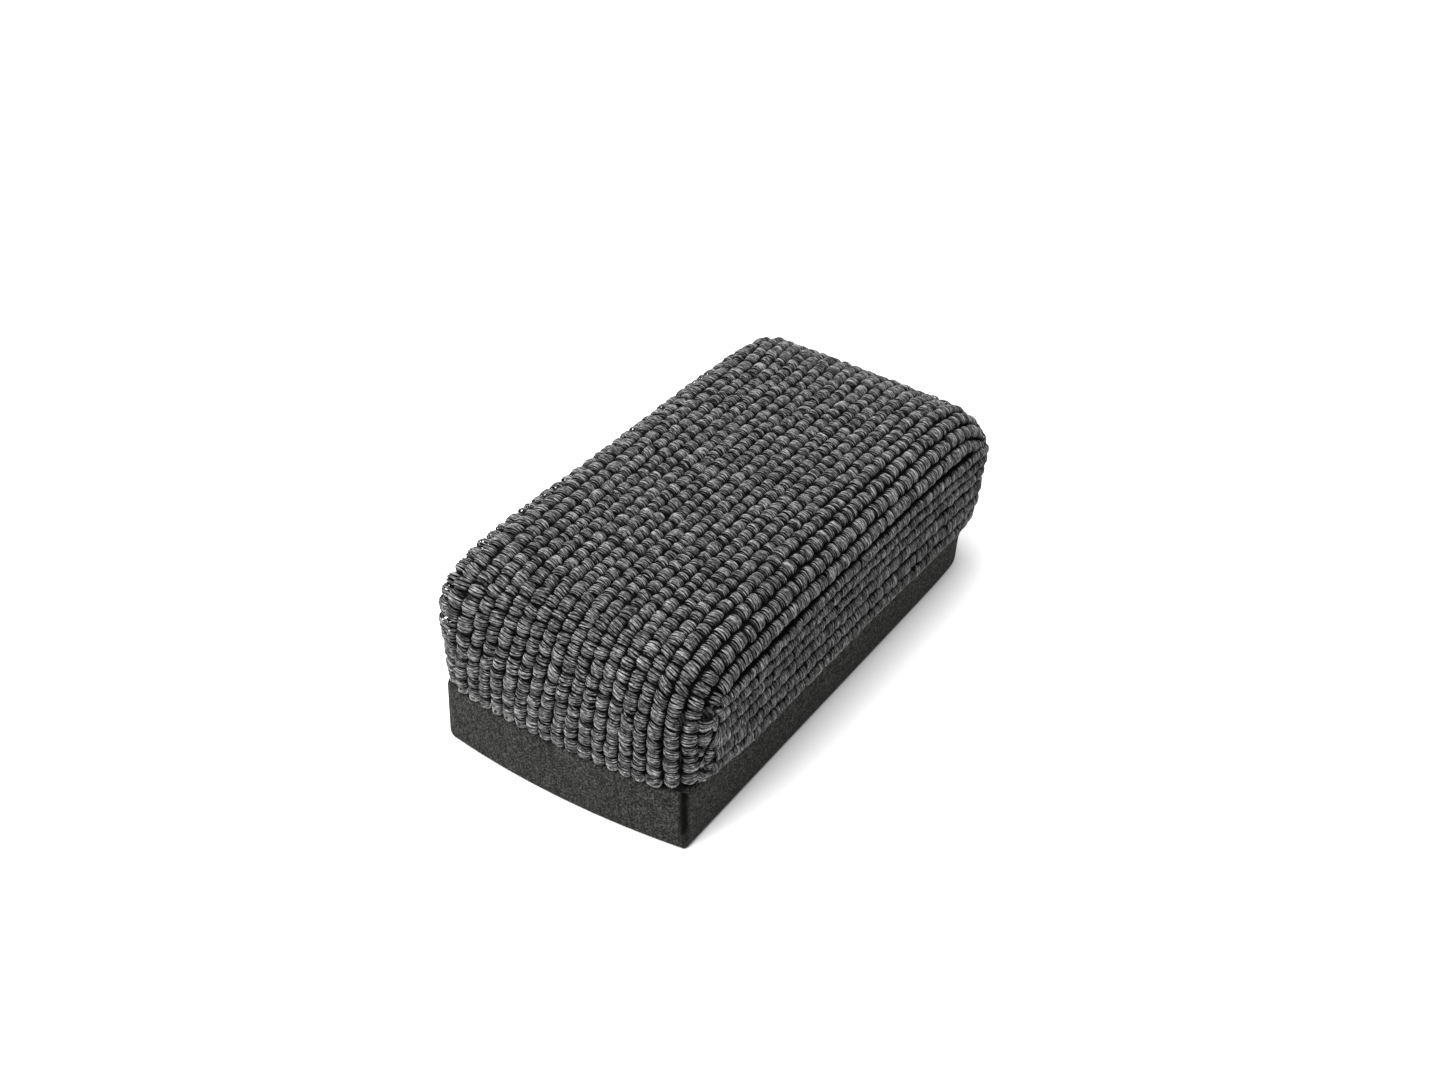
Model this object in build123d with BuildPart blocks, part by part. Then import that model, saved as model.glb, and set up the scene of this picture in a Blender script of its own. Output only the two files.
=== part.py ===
"""Chalkboard eraser: a looped cord wiping cover over a foam pad, on a felt-covered grip block.

Millimetres, +Z up, +X along the length. The origin is under the middle of the eraser, on the
surface it stands on: the grip is below and the wiping face is on top.
"""

import os
from math import cos, degrees, radians, sin, tan

from build123d import *

os.makedirs("parts", exist_ok=True)

# Driving dimensions
LENGTH = 130.0  # over the cords of the end faces
WIDTH = 68.0  # over the cords of the long sides
HEIGHT = 44.0  # floor to the top of the wiping face

# Grip block
BASE_LENGTH = 126.0
BASE_SHIFT = -2.0  # the cover sits this much further along than the grip
BASE_WIDTH = 62.0
BASE_HEIGHT = 14.0
END_BOW = 2.4  # how far the middle of each short end stands out
SEAM_CORNER_RADIUS = 0.8  # the corner where the felt strip's two ends meet
CORNER_RADIUS = 4.0  # the other corner of the near end
FAR_CORNER_RADIUS = 7.0
INNER_CORNER_RADIUS = 0.5  # least corner radius of the pieces inside the strip
FELT = 1.5
SEAM_GAP = 0.6
SEAM_CUT = 6.0  # long enough to part the strip on the slant at its corner

# Cover: ground cloth and the looped cords on it
CORD_HEIGHT = 1.8
CORD_WIDTH = 3.0
CORD_CREST_RADIUS = 1.35
CORD_PITCH = 3.2
CORD_GAP = 0.05  # between a cord's flat back and the ground cloth
CORD_FOOT_GAP = 0.4  # between a cord's foot and the grip
CORDS_OVER = 20  # cords that run over the top and down both ends
ROW_PITCH = 3.4
ROWS_PER_SIDE = 7  # cords that run along a long side only
CLOTH = 1.0
EDGE_RADIUS = 9.0  # long top edges and upright corners
EDGE_STATIONS = (0, 18, 36, 54, 72, 90)  # degrees round a long edge where a section is drawn
LEAN = 3.0  # degrees that the end walls draw in towards the grip
SIDE_LEAN = 6.0  # the same for the long sides
CROWN = (250.0, 4.0)  # radius and turn of the gentle fall from the flat middle
BROW = (30.0, 16.0)
SHOULDER = (14.0, 90.0 + LEAN - CROWN[1] - BROW[1])
ROW_HALF_LENGTH = 47.0
ROW_DROOP = 1.5  # how far the ends of a side row hang below its middle
DROOP_STEP = 0.15  # each lower row hangs this much less
TUCK = (47.6, 56.0)  # gathered cloth from the ends of the side rows to the corner
TUCK_HEIGHT = 18.0

# Board, hem and staples
BOARD = 3.0
HEM_WIDTH = 10.0
HEM_CLEARANCE = 1.0  # between the hem's cut edge and the middle of the grip
PAD_CLEARANCE = 0.1
STAPLE_WIRE = 0.5
STAPLE_CROWN = 10.0
STAPLE_LEG = 3.2
STAPLE_INSET = 5.0
STAPLES_PER_SIDE = 5
STAPLES_PER_END = 3

# Levels
HEM_Z = BASE_HEIGHT
BOARD_Z = HEM_Z + CLOTH
PAD_Z = BOARD_Z + BOARD
CLOTH_TOP = HEIGHT - CORD_HEIGHT - CORD_GAP
CLOTH_HALF_WIDTH = WIDTH / 2 - CORD_HEIGHT - CORD_GAP
CLOTH_HALF_LENGTH = LENGTH / 2 - CORD_HEIGHT - CORD_GAP
FLAT_HALF_WIDTH = CLOTH_HALF_WIDTH - EDGE_RADIUS
CORD_FOOT = HEM_Z + CORD_FOOT_GAP


def fall(inset):
    """How far the arcs from the flat middle to the widest point of an end reach, along and down."""
    angle, along, down = 0.0, 0.0, 0.0
    for radius, turn in (CROWN, BROW, (SHOULDER[0], SHOULDER[1] - LEAN)):
        after = angle + turn
        along += (radius - inset) * (sin(radians(after)) - sin(radians(angle)))
        down += (radius - inset) * (cos(radians(angle)) - cos(radians(after)))
        angle = after
    return along, down


FLAT_HALF_LENGTH = CLOTH_HALF_LENGTH - END_BOW / 2 - fall(0)[0]


def bow(across):
    """How far the ends stand out at a distance across from the middle."""
    return END_BOW * (0.5 - (across / CLOTH_HALF_WIDTH) ** 2)


def run_over(inset, across, foot):
    """Lines and arcs up one end, over the top and down the other, drawn in the current BuildLine."""
    flat = FLAT_HALF_LENGTH + bow(across)
    along, down = fall(inset)
    radius = SHOULDER[0] - inset
    bend_x = flat + along - radius * (1 - cos(radians(LEAN)))
    bend_z = CLOTH_TOP - inset - down - radius * sin(radians(LEAN))
    foot_x = bend_x - (bend_z - foot) * tan(radians(LEAN))
    edge = Line((-foot_x, foot), (-bend_x, bend_z))
    for size, turn in (SHOULDER, BROW, CROWN):
        edge = JernArc(edge @ 1, edge % 1, size - inset, -turn)
    edge = Line(edge @ 1, (flat, CLOTH_TOP - inset))
    for size, turn in (CROWN, BROW, SHOULDER):
        edge = JernArc(edge @ 1, edge % 1, size - inset, -turn)
    Line(edge @ 1, (foot_x, foot))
    return foot_x


def run_along(inset, across):
    """The same over the top only, from where one shoulder ends to where the other begins."""
    top = CLOTH_TOP - inset
    turned = radians(CROWN[1] + BROW[1])
    gentle = radians(CROWN[1])
    along = (CROWN[0] - inset) * sin(gentle) + (BROW[0] - inset) * (sin(turned) - sin(gentle))
    down = (CROWN[0] - inset) * (1 - cos(gentle)) + (BROW[0] - inset) * (cos(gentle) - cos(turned))
    flat = FLAT_HALF_LENGTH + bow(across)
    edge = JernArc((-flat - along, top - down), (cos(turned), sin(turned)), BROW[0] - inset, -BROW[1])
    edge = JernArc(edge @ 1, edge % 1, CROWN[0] - inset, -CROWN[1])
    edge = Line(edge @ 1, (flat, top))
    edge = JernArc(edge @ 1, edge % 1, CROWN[0] - inset, -CROWN[1])
    JernArc(edge @ 1, edge % 1, BROW[0] - inset, -BROW[1])


def cover_form(skin, foot):
    """The solid inside the cover, skin below the cloth's outer face: a loft cut to leaning sides."""
    stations = [(0.0, 0.0), (FLAT_HALF_WIDTH / 2, 0.0)]
    for tilt in EDGE_STATIONS:
        across = FLAT_HALF_WIDTH + (EDGE_RADIUS - skin) * sin(radians(tilt))
        stations.append((across, (EDGE_RADIUS - skin) * (1 - cos(radians(tilt)))))
    stations = [(-across, drop) for across, drop in reversed(stations[1:])] + stations
    with BuildPart() as form:
        for across, drop in stations:
            with BuildSketch(Plane.XZ.offset(-across)):
                with BuildLine():
                    foot_x = run_over(skin + drop, across, foot)
                    Line((foot_x, foot), (-foot_x, foot))
                make_face()
        loft(ruled=True)
        for side in (-1, 1):
            out = Vector(0, side * cos(radians(SIDE_LEAN)), -sin(radians(SIDE_LEAN)))
            centre = Vector(0, side * FLAT_HALF_WIDTH, CLOTH_TOP - EDGE_RADIUS)
            wall = Plane(origin=centre + out * (EDGE_RADIUS - skin), z_dir=out)
            split(bisect_by=wall, keep=Keep.BOTTOM)
    return form.part


def base_plan(inset):
    """Face of the grip's plan, inset all round: straight sides, bowed ends, one sharp corner."""
    half_length = BASE_LENGTH / 2 - inset
    half_width = BASE_WIDTH / 2 - inset
    corner_x = half_length - END_BOW
    with BuildSketch() as plan:
        with BuildLine():
            Line((-corner_x, -half_width), (corner_x, -half_width))
            ThreePointArc((corner_x, -half_width), (half_length, 0), (corner_x, half_width))
            Line((corner_x, half_width), (-corner_x, half_width))
            ThreePointArc((-corner_x, half_width), (-half_length, 0), (-corner_x, -half_width))
        make_face()
        far_corners = plan.vertices().group_by(Axis.X)[-1]
        fillet(far_corners, max(FAR_CORNER_RADIUS - inset, INNER_CORNER_RADIUS))
        near_corners = plan.vertices().group_by(Axis.X)[0].sort_by(Axis.Y)
        fillet(near_corners[1], max(CORNER_RADIUS - inset, INNER_CORNER_RADIUS))
        if SEAM_CORNER_RADIUS > inset:
            near_corners = plan.vertices().sort_by(lambda corner: corner.X + corner.Y)
            fillet(near_corners[0], SEAM_CORNER_RADIUS - inset)
    return Pos(BASE_SHIFT, 0, 0) * plan.sketch


def save(builder, name):
    """Label a finished piece and write it."""
    builder.part.label = name
    export_step(builder.part, f"parts/{name}.step")


# Grip block: felt sheet under it, felt strip round it, moulded core inside
with BuildPart() as base_felt:
    add(base_plan(FELT))
    extrude(amount=FELT)
save(base_felt, "base_felt")

with BuildPart() as felt_band:
    add(base_plan(0))
    extrude(amount=BASE_HEIGHT)
    add(base_plan(FELT))
    extrude(amount=BASE_HEIGHT, mode=Mode.SUBTRACT)
    seam_x = BASE_SHIFT - (BASE_LENGTH / 2 - END_BOW)
    seam_y = -BASE_WIDTH / 2
    with Locations(Location((seam_x, seam_y, BASE_HEIGHT / 2), (0, 0, 45))):
        Box(SEAM_CUT, SEAM_GAP, BASE_HEIGHT, mode=Mode.SUBTRACT)
save(felt_band, "felt_band")

with BuildPart() as grip_core:
    with BuildSketch(Plane.XY.offset(FELT)):
        add(base_plan(FELT))
    extrude(amount=HEM_Z - STAPLE_WIRE - PAD_CLEARANCE - FELT)
    with BuildSketch(Plane.XY.offset(FELT)):
        add(base_plan(HEM_WIDTH + HEM_CLEARANCE))
    extrude(amount=BOARD_Z - FELT)
save(grip_core, "grip_core")


# Staples through the hem into the board
def staple_places():
    """Centre and turn of each staple round the hem."""
    places = []
    half_length = BASE_LENGTH / 2 - END_BOW
    for side in (-1, 1):
        for i in range(STAPLES_PER_SIDE):
            x = (i - (STAPLES_PER_SIDE - 1) / 2) * 2 * half_length / (STAPLES_PER_SIDE + 1)
            places.append(Location((BASE_SHIFT + x, side * (BASE_WIDTH / 2 - STAPLE_INSET), 0)))
        for i in range(STAPLES_PER_END):
            y = (i - (STAPLES_PER_END - 1) / 2) * BASE_WIDTH / (STAPLES_PER_END + 1)
            x = BASE_SHIFT + side * (half_length - STAPLE_INSET + END_BOW / 2)
            places.append(Location((x, y, 0), (0, 0, 90)))
    return places


with BuildPart() as hem_staples:
    for place in staple_places():
        with Locations(place * Location((0, 0, HEM_Z - STAPLE_WIRE / 2))):
            Box(STAPLE_CROWN, 2 * STAPLE_WIRE, STAPLE_WIRE)
        for end in (-1, 1):
            leg_x = end * (STAPLE_CROWN - STAPLE_WIRE) / 2
            with Locations(place * Location((leg_x, 0, HEM_Z + STAPLE_LEG / 2))):
                Box(STAPLE_WIRE, 2 * STAPLE_WIRE, STAPLE_LEG)
save(hem_staples, "hem_staples")

# Board and pad
inside_cover = cover_form(CLOTH + PAD_CLEARANCE, BOARD_Z)

with BuildPart() as carrier_board:
    add(inside_cover)
    split(bisect_by=Plane.XY.offset(PAD_Z), keep=Keep.BOTTOM)
    add(hem_staples.part, mode=Mode.SUBTRACT)
save(carrier_board, "carrier_board")

with BuildPart() as foam_pad:
    add(inside_cover)
    split(bisect_by=Plane.XY.offset(PAD_Z), keep=Keep.TOP)
save(foam_pad, "foam_pad")

# Ground cloth: over the pad and turned under the board
with BuildPart() as cover_cloth:
    add(cover_form(0, HEM_Z))
    add(cover_form(CLOTH, BOARD_Z), mode=Mode.SUBTRACT)
    with BuildSketch(Plane.XY.offset(HEM_Z)):
        add(base_plan(HEM_WIDTH))
    extrude(amount=CLOTH, mode=Mode.SUBTRACT)
    add(hem_staples.part, mode=Mode.SUBTRACT)
save(cover_cloth, "cover_cloth")


def cord_section():
    """Flat-backed, round-topped section of a cord; +Y is away from the cloth."""
    with BuildSketch() as section:
        Rectangle(CORD_WIDTH, CORD_HEIGHT, align=(Align.CENTER, Align.MIN))
        fillet(section.vertices().group_by(Axis.Y)[-1], CORD_CREST_RADIUS)
    return section.sketch


def section_plane(path, tilt):
    """Plane across the start of a path in an XZ plane, with its +Y tilted towards +Y of the part."""
    along = path % 0
    across = Vector(0, 1, 0)
    out = along.cross(across) * cos(radians(tilt)) + across * sin(radians(tilt))
    return Plane(origin=path @ 0, x_dir=out.cross(along), z_dir=along)


def place_on_section(distance):
    """Position across and below the top, and tilt, of a point on the cover's cross-section."""
    over = abs(distance) - FLAT_HALF_WIDTH
    side = 1 if distance > 0 else -1
    if over <= 0:
        return distance, 0.0, 0.0
    tilt = min(over / EDGE_RADIUS, radians(90 + SIDE_LEAN))
    below = over - EDGE_RADIUS * tilt
    across = FLAT_HALF_WIDTH + EDGE_RADIUS * sin(tilt) - below * sin(radians(SIDE_LEAN))
    drop = EDGE_RADIUS * (1 - cos(tilt)) + below * cos(radians(SIDE_LEAN))
    return side * across, drop, side * degrees(tilt)


# Cords over the top and down both ends
for number in range(CORDS_OVER):
    distance = (number - (CORDS_OVER - 1) / 2) * CORD_PITCH
    across, drop, tilt = place_on_section(distance)
    clear_of_cloth = CORD_GAP * cos(radians(tilt))
    with BuildPart() as cord:
        with BuildLine(Plane.XZ.offset(-across - CORD_GAP * sin(radians(tilt)))) as run:
            run_over(drop - clear_of_cloth, abs(across) - CORD_WIDTH / 2, CORD_FOOT)
        with BuildSketch(section_plane(run.wire(), tilt)):
            add(cord_section())
        sweep()
    save(cord, f"cord_over_{number + 1:02d}")

# Cords along the long sides
for side, side_name in ((-1, "front"), (1, "back")):
    for number in range(ROWS_PER_SIDE):
        distance = (CORDS_OVER + 1) / 2 * CORD_PITCH + number * ROW_PITCH
        across, drop, tilt = place_on_section(side * distance)
        level = CLOTH_TOP - drop + CORD_GAP * cos(radians(tilt))
        end_level = level - ROW_DROOP + number * DROOP_STEP
        with BuildPart() as row:
            with BuildLine(Plane.XZ.offset(-across - CORD_GAP * sin(radians(tilt)))) as run:
                if number == 0:
                    run_along(CLOTH_TOP - level, abs(across) - CORD_WIDTH / 2)
                else:
                    ThreePointArc((-ROW_HALF_LENGTH, end_level), (0, level), (ROW_HALF_LENGTH, end_level))
            with BuildSketch(section_plane(run.wire(), tilt)):
                add(cord_section())
            sweep()
        save(row, f"{side_name}_row_{number + 1}")

# Gathered cloth at the four corners, following the cover round
tuck_outside = cover_form(-CORD_GAP - CORD_HEIGHT, CORD_FOOT)
tuck_inside = cover_form(-CORD_GAP, CORD_FOOT)
for side, side_name in ((-1, "front"), (1, "back")):
    for end, end_name in ((-1, "left"), (1, "right")):
        with BuildPart() as tuck:
            middle = (end * (TUCK[0] + TUCK[1]) / 2, side * WIDTH / 2, CORD_FOOT + TUCK_HEIGHT / 2)
            with Locations(middle):
                Box(TUCK[1] - TUCK[0], EDGE_RADIUS * 2, TUCK_HEIGHT)
            add(tuck_outside, mode=Mode.INTERSECT)
            add(tuck_inside, mode=Mode.SUBTRACT)
        save(tuck, f"corner_tuck_{side_name}_{end_name}")
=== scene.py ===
"""Looks of the chalkboard eraser: looped yarn ribs strand by strand, ground cloth, pad and felt grip.

Lengths in this script are millimetres; meshes are scaled to metres when they are made.
"""

from math import cos, pi, radians, sin, tan

import bmesh
import bpy
import numpy as np
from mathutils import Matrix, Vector


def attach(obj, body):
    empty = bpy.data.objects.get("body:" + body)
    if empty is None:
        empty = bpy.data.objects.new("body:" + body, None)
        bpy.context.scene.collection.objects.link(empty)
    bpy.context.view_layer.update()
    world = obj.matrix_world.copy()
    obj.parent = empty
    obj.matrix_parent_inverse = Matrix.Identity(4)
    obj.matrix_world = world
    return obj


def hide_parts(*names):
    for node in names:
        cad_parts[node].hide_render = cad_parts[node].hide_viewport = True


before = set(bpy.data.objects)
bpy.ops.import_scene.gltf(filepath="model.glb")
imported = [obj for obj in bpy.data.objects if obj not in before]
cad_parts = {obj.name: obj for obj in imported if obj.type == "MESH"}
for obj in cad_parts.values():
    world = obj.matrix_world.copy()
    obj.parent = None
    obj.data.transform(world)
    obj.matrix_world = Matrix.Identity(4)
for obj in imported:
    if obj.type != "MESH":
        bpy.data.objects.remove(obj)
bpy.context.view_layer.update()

MM = 0.001
rng = np.random.default_rng(20)

# Sizes of the part
LENGTH, WIDTH, HEIGHT = 130.0, 68.0, 44.0
BASE_LENGTH, BASE_WIDTH, BASE_HEIGHT = 126.0, 62.0, 14.0
BASE_SHIFT = -2.0
END_BOW = 2.4
CORNER_RADIUS = 4.0
FAR_CORNER_RADIUS = 9.0
FELT = 1.5
CORD_HEIGHT = 1.85
CORD_PITCH = 3.2
CORDS_OVER = 20
ROW_PITCH = 3.4
ROWS_PER_SIDE = 7
EDGE_RADIUS = 9.0
END_LEAN = radians(3)
SIDE_LEAN = radians(6)
CROWN = (250.0, radians(4))
BROW = (30.0, radians(16))
SHOULDER = (14.0, radians(73))
FOOT_Z = 14.4  # where the ribs end
CLOTH = 1.0
CLOTH_FOOT = 14.1  # where the ground cloth turns under
HEM_WIDTH = 10.0
PAD_SKIN = 1.3  # from the cover's surface to the pad
PAD_Z = 18.2
CORE_RIM_Z = 12.4  # the grip core's rim ends here, below the staples
ROW_HALF_LENGTH = 47.0
ROW_DROOP = 1.5  # how far the ends of a side row hang below its middle
DROOP_STEP = 0.15  # each lower row hangs this much less
SIDE_OPENNESS = 0.4  # how far the beads of the side rows stand apart
UPPER_ROW_SPAN = (-54.0, 58.0)  # where the first row of a side begins and ends
COVER_LEAN_Z = 33.1  # the ground cloth and the ribs' far ends lean in below this height
WALL_LEAN_Z = 33.0  # and the rows of the long sides below this one
GATHER_FROM = 51.5  # the cloth is gathered from here on, at the height GATHER_Z
GATHER_Z = 33.4
GATHER_SLANT = 0.9  # it starts this much nearer the middle for each millimetre lower
CLOTH_TOP = HEIGHT - CORD_HEIGHT
CLOTH_HALF_WIDTH = WIDTH / 2 - CORD_HEIGHT
CLOTH_HALF_LENGTH = LENGTH / 2 - CORD_HEIGHT
FLAT_HALF_WIDTH = CLOTH_HALF_WIDTH - EDGE_RADIUS


# The cover's form
def end_fall():
    """How far the arcs of an end reach from the flat middle, along and down."""
    angle, along, down = 0.0, 0.0, 0.0
    for radius, turn in (CROWN, BROW, (SHOULDER[0], SHOULDER[1] - END_LEAN)):
        after = angle + turn
        along += radius * (sin(after) - sin(angle))
        down += radius * (cos(angle) - cos(after))
        angle = after
    return along, down


FLAT_HALF_LENGTH = CLOTH_HALF_LENGTH - END_BOW / 2 - end_fall()[0]


def bow(across):
    """How far the ends stand out at a distance across from the middle."""
    return END_BOW * (0.5 - (across / CLOTH_HALF_WIDTH) ** 2)


def section_place(distance):
    """Position across, depth below the top and tilt, at a distance round the cover's cross-section."""
    over = abs(distance) - FLAT_HALF_WIDTH
    if over <= 0:
        return distance, 0.0, 0.0
    turn = min(over / EDGE_RADIUS, pi / 2 + SIDE_LEAN)
    below = over - EDGE_RADIUS * turn
    across = FLAT_HALF_WIDTH + EDGE_RADIUS * sin(turn) - below * sin(SIDE_LEAN)
    drop = EDGE_RADIUS * (1 - cos(turn)) + below * cos(SIDE_LEAN)
    side = 1 if distance > 0 else -1
    return side * across, drop, side * turn


def end_profile(inset, across, foot, step=0.2):
    """Points (x, z) from the middle of the top, over the +X end and down to the foot."""
    x, z = FLAT_HALF_LENGTH + bow(across), CLOTH_TOP - inset
    points = [(along, z) for along in np.arange(0, x, step)]
    angle = 0.0
    for radius, turn in (CROWN, BROW, SHOULDER):
        radius -= inset
        count = max(2, int(radius * turn / step))
        for k in range(count):
            at = angle + turn * k / count
            points.append((x + radius * (sin(at) - sin(angle)), z - radius * (cos(angle) - cos(at))))
        x += radius * (sin(angle + turn) - sin(angle))
        z -= radius * (cos(angle) - cos(angle + turn))
        angle += turn
    for level in np.arange(z, foot, -step):
        points.append((x - (z - level) * tan(END_LEAN), level))
    return np.array(points)


def ease(x):
    """Smooth step from 0 to 1."""
    x = np.clip(x, 0, 1)
    return x * x * (3 - 2 * x)


def settle(points):
    """The cover as it sits: crowded ribs in front, a fuller far end and a rounder near one."""
    x, y, z = points[..., 0], points[..., 1], points[..., 2]
    near, far = np.clip(-x / 60, 0, 1), np.clip(x / 60, 0, 1)
    low, high = np.clip((34 - z) / 20, 0, 1), ease((z - 16) / 22)
    foot = low**6
    back, front = np.clip(y / 32, 0, 1) ** 2, np.clip(-y / 32, 0, 1) ** 2
    middle = np.clip(1 - (y / 27) ** 2, 0, 1)
    shoulder = np.clip(1 - ((np.abs(x) - 61) ** 2 + (z - 38) ** 2) / 120, 0, 1) ** 2
    square = shoulder * (back * np.where(x > 0, 1.2, 0.9) + front * (x < 0))
    crowded = (0.62 + 0.5 * y / 22) * np.clip((31 - np.abs(y)) / 7, 0, 1)
    drawn = (1.35 + 1.1 * ease((4 - x) / 40)) * (1 - ease((x - 40) / 16)) * high
    brow = np.exp(-(((x - 56) / 9) ** 2)) * high
    moved = points.copy()
    # Along: the corners and the near end's foot stand out, and the near end's middle is drawn in
    moved[..., 0] += (1.2 * back + (1.2 - 1.7 * foot) * front) * far**3 - 0.6 * front * near**3
    moved[..., 0] += np.sign(x) * 1.6 * square - 1.2 * low * near**2
    moved[..., 0] += 1.6 * middle * ease(-(x + 45) / 12) * np.exp(-(((z - 31) / 8) ** 2))
    # Across: the ribs of the top are drawn to the front, whose far corner stands out above its foot
    moved[..., 1] = y * 1.014 - drawn * crowded + 1.0 * back * near**2 * high
    moved[..., 1] += (0.8 * foot - 0.8) * front * far**3
    # Up: the squared corners and the near end's back corner, and the far end's brow, more to the back
    moved[..., 2] += 1.1 * square + brow * np.clip(1.0 + 0.055 * y, -0.5, 1.45)
    moved[..., 2] += 0.9 * back * near**2 * high
    return moved


def leaned(points, radius=EDGE_RADIUS):
    """Points pulled in towards the foot as far as they belong to a long side."""
    share = np.clip((np.abs(points[..., 1]) - FLAT_HALF_WIDTH) / radius, 0, 1)
    below = np.clip(COVER_LEAN_Z - points[..., 2], 0, None)
    moved = points.copy()
    moved[..., 1] -= np.sign(points[..., 1]) * share * below * tan(SIDE_LEAN)
    return moved


def hang(points):
    """The knit of the front as it droops over the grip, more towards the far end."""
    x, y, z = points[..., 0], points[..., 1], points[..., 2]
    low = ease((27 - z) / 12) * np.clip((-y - 26) / 4, 0, 1)
    along = ease((x + 61) / 22)
    moved = points.copy()
    moved[..., 1] -= 0.8 * low * along * (1 - ease((x - 44) / 14))
    moved[..., 2] -= low * along * (1.5 + 1.3 * ease((x + 30) / 80))
    return moved


# Strands of yarn
class Line3:
    """A line that yarn is looped over, with its direction, outward normal and width direction."""

    def __init__(self, points, outward):
        steps = np.linalg.norm(np.diff(points, axis=0), axis=1)
        self.at = np.concatenate([[0.0], np.cumsum(steps)])
        self.length = self.at[-1]
        along = np.gradient(points, axis=0)
        along /= np.linalg.norm(along, axis=1, keepdims=True)
        outward = outward - (outward * along).sum(1, keepdims=True) * along
        outward /= np.linalg.norm(outward, axis=1, keepdims=True)
        self.points, self.along, self.out = points, along, outward
        self.wide = np.cross(outward, along)

    def take(self, array, s):
        """Values of an array of the line's, such as its points, at distances along it."""
        flat = np.stack([np.interp(s.ravel(), self.at, array[:, i]) for i in range(3)], -1)
        return flat.reshape(s.shape + (3,))


RINGS = 10
SIDES = 6
REACH = radians(104)  # how far round its rib a strand goes to each side
# A strand is darker on its flanks, where its neighbours shade it
FLANK_SHADE = 0.42 + 0.67 * np.clip(np.sin(np.linspace(0, 2 * pi, SIDES, endpoint=False)), 0, 1)


def tubes(centre, lift, thick):
    """Yarn round each centre line: vertices, and for each the place on the yarn, in millimetres."""
    count, rings = centre.shape[:2]
    run = np.gradient(centre, axis=1)
    length = np.linalg.norm(run, axis=2, keepdims=True)
    along = np.cumsum(length[..., 0], axis=1)
    run /= length
    lift = lift - (lift * run).sum(2, keepdims=True) * run
    lift /= np.linalg.norm(lift, axis=2, keepdims=True)
    flank = np.cross(run, lift)
    theta = np.linspace(0, 2 * pi, SIDES, endpoint=False)
    breadth = thick * (1 + rng.normal(0, 0.04, (count, rings)))
    ring = flank[:, :, None] * (np.cos(theta) * breadth[..., None])[..., None]
    ring += lift[:, :, None] * (np.sin(theta) * breadth[..., None] * 0.82)[..., None]
    vertices = centre[:, :, None] + ring
    fibre = np.empty(vertices.shape)
    fibre[..., 0] = (np.cos(theta) + np.sin(theta)) * breadth[..., None]
    fibre[..., 1] = along[..., None]
    fibre[..., 2] = rng.uniform(0, 400, count)[:, None, None]
    return vertices, fibre


def strands(line, s, half_width, height, thick, slant, tone, shift, depth, reach=REACH):
    """Yarn arched over a line, once for each entry of s, with its painted shade, darkest where it dips away
    from the top of its arch, and its tone.
    """
    count = len(s)
    phi = np.linspace(-reach, reach, RINGS)
    rise = np.sign(np.cos(phi)) * np.abs(np.cos(phi)) ** 0.78
    across = half_width[:, None] * (np.sign(phi) * np.abs(np.sin(phi)) ** 0.88) + shift[:, None]
    up = height[:, None] * rise
    sway = rng.normal(0, 0.05, (count, 1)) * np.cos(2 * phi)
    where = s[:, None] + slant[:, None] * across + sway
    inside = np.clip(where, 0, line.length)
    centre = line.take(line.points, inside)
    along, out, wide = (line.take(a, inside) for a in (line.along, line.out, line.wide))
    centre = centre + along * (where - inside)[..., None]
    centre = centre + out * up[..., None] + wide * across[..., None]
    lift = out * (np.cos(phi) * half_width[:, None])[..., None]
    lift = lift + wide * (np.sin(phi) * height[:, None])[..., None]
    slim = 1 - 0.28 * np.abs(np.sin(phi)) ** 4
    vertices, fibre = tubes(centre, lift, thick[:, None] * slim)
    # Painted shade: full colour at the top of a strand's arch, black where it dips to the ground, darker on
    # its flanks, and darker where depth is low at the ends of loose beads
    crest_shade = np.clip(rise, 0, 1)[None, :, None] * depth[:, None, None] * FLANK_SHADE
    return vertices, fibre, crest_shade, np.broadcast_to(tone[:, None, None], vertices.shape[:3])


def loops(centre, out, reach, thick, crest_shade=0.9, tone=0.8):
    """Loops of yarn on the surface, each round its centre in the two directions of its reach."""
    across, down = reach
    turn = np.linspace(-0.62 * pi, 0.62 * pi, RINGS)
    path = centre[:, None] + across[:, None] * np.sin(turn)[:, None]
    path = path + down[:, None] * np.cos(turn)[:, None]
    path = path + out[:, None] * (0.35 * np.cos(turn))[:, None]
    vertices, fibre = tubes(path, np.broadcast_to(out[:, None], path.shape), thick[:, None] * np.ones(RINGS))
    shape = vertices.shape[:3]
    # Painted shade on the loops' flanks, as on the strands
    return vertices, fibre, np.full(shape, crest_shade) * FLANK_SHADE, np.full(shape, tone)


def tube_faces(count, rings, sides):
    """Faces of open tubes, for the vertices that tubes() gives."""
    ring = np.arange(sides)
    base = np.stack([ring, (ring + 1) % sides, (ring + 1) % sides + sides, ring + sides], -1)
    steps = np.arange(rings - 1)[:, None, None] * sides
    tubes = np.arange(count)[:, None, None, None] * rings * sides
    return (base[None] + steps)[None] + tubes


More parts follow.
